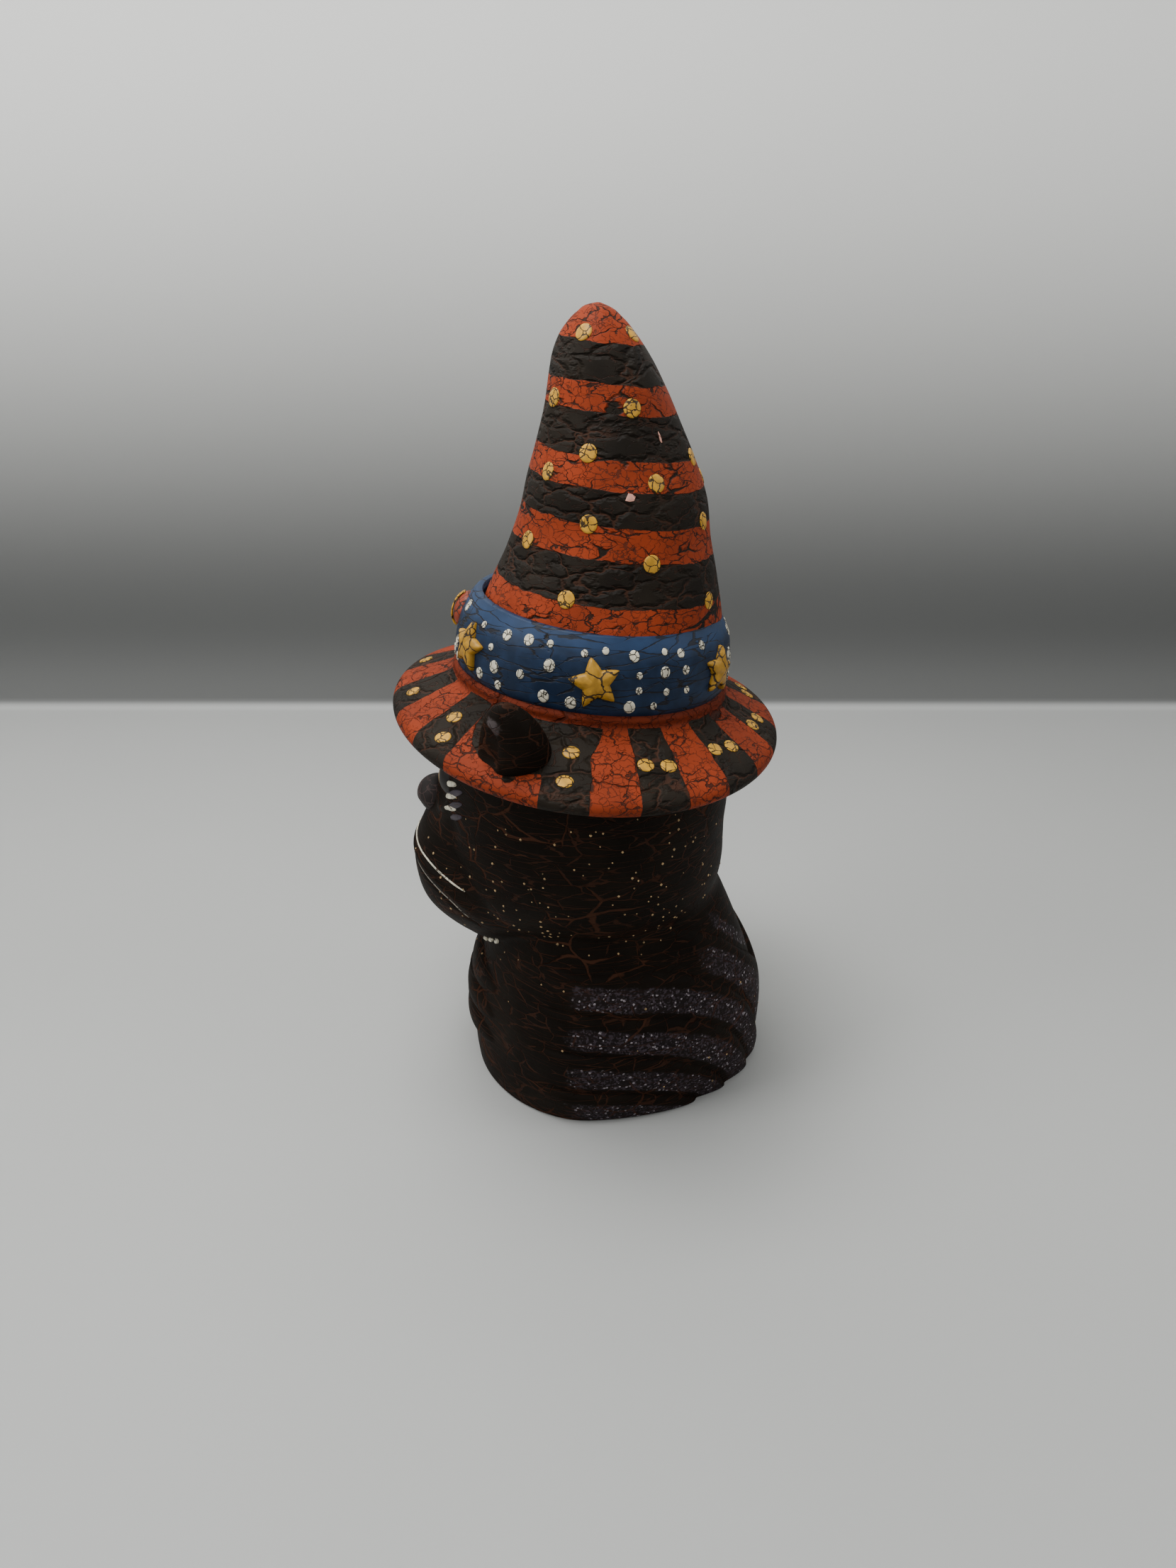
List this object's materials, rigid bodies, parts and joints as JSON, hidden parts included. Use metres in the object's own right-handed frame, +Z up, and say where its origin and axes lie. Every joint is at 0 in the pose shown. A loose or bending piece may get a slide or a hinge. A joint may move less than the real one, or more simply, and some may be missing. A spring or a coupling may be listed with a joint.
{
  "type": "animated cat figure in a witch's hat",
  "caption": "Seated cat bust in a striped witch's hat; a battery motor under the brim sways the hat from side to side.",
  "frame": {"origin": "middle of the figure's footprint, on the surface that it stands on", "axes": "+Z up, the figure faces -Y, +X is the figure's left"},
  "size_m": [0.168, 0.1521, 0.3076],
  "materials": {
    "cast_black": "matte crackled paint on cast resin",
    "hat_paint": "matte crackled paint, orange and charcoal stripes",
    "band_navy": "satin crackled navy paint with pale dots",
    "star_gold": "satin mustard gold paint",
    "brooch_paint": "satin paint, orange-red with gold",
    "nose_paint": "satin black paint",
    "eye_paint": "gloss amber paint with dark pupil",
    "moulded_black": "fine-grained injection moulding",
    "moulded_white": "natural acetal",
    "steel": "zinc-plated steel",
    "brass": "turned brass",
    "motor_steel": "drawn and plated can",
    "cell_wrap": "plain printed sleeve, steel ends",
    "board_green": "solder mask over glass-fibre",
    "chip_black": "moulded component bodies",
    "speaker_paper": "pressed paper cone",
    "magnet": "plated ferrite magnet",
    "lead_red": "soft insulation"
  },
  "bodies": {
    "bust": {"bust_shell": "cast_black", "nose": "nose_paint", "eye_left": "eye_paint", "eye_right": "eye_paint", "drive_deck": "moulded_black", "deck_screws": "steel", "gear_plate": "moulded_black", "gear_pillars": "brass", "pillar_screws": "steel", "gear_pins": "steel", "bearing_bush": "brass", "thrust_washer": "moulded_white", "motor_can": "motor_steel", "motor_end_cap": "moulded_white", "motor_terminals": "brass", "motor_screws": "steel", "motor_leads": "lead_red", "base_plate": "moulded_black", "base_screws": "steel", "battery_1": "cell_wrap", "battery_2": "cell_wrap", "battery_3": "cell_wrap", "contact_plates": "steel", "contact_springs": "steel", "speaker_frame": "steel", "speaker_cone": "speaker_paper", "speaker_magnet": "magnet", "speaker_leads": "lead_red", "switch_body": "moulded_black", "control_board": "board_green", "board_parts": "chip_black", "board_screws": "steel"},
    "hat": {"hat_shell": "hat_paint", "hat_band": "band_navy", "band_stars": "star_gold", "band_brooch": "brooch_paint", "ear_left": "cast_black", "ear_right": "cast_black", "hat_plate": "moulded_black", "hat_spindle": "steel", "spindle_clip": "steel", "output_gear": "moulded_white"},
    "second_gear": {"second_gear": "moulded_white"},
    "first_gear": {"first_gear": "moulded_white"},
    "motor_rotor": {"motor_shaft": "steel", "motor_pinion": "brass"},
    "battery_door": {"battery_door": "moulded_black", "door_screw": "steel"},
    "switch_knob": {"switch_knob": "moulded_black"}
  },
  "joints": [
    {"name": "hat_sway", "type": "hinge", "parent": "bust", "child": "hat", "pos_m": [0, -0.001, 0.158], "axis": [0, 0.1045, 0.9945], "range_deg": [-20, 20]},
    {"name": "second_gear_spin", "type": "hinge", "parent": "bust", "child": "second_gear", "pos_m": [0.021, -0.001, 0.158], "axis": [0, 0.1045, 0.9945], "range_deg": [-80, 80]},
    {"name": "first_gear_spin", "type": "hinge", "parent": "bust", "child": "first_gear", "pos_m": [0.01155, 0.01528, 0.15629], "axis": [0, 0.1045, 0.9945], "range_deg": [-280, 280]},
    {"name": "motor_spin", "type": "hinge", "parent": "bust", "child": "motor_rotor", "pos_m": [-0.00735, 0.01528, 0.15629], "axis": [0, 0.1045, 0.9945], "range_deg": [-980, 980]},
    {"name": "battery_door_hinge", "type": "hinge", "parent": "bust", "child": "battery_door", "pos_m": [0, -0.0296, 0.0032], "axis": [-1, 0, 0], "range_deg": [0, 95]},
    {"name": "switch_slide", "type": "slide", "parent": "bust", "child": "switch_knob", "axis": [0, 1, 0], "range_m": [0, 0.004]}
  ],
  "couplings": [
    {"joint": "second_gear_spin", "follows": "hat_sway", "ratio": -4},
    {"joint": "first_gear_spin", "follows": "hat_sway", "ratio": 14},
    {"joint": "motor_spin", "follows": "hat_sway", "ratio": -49}
  ]
}
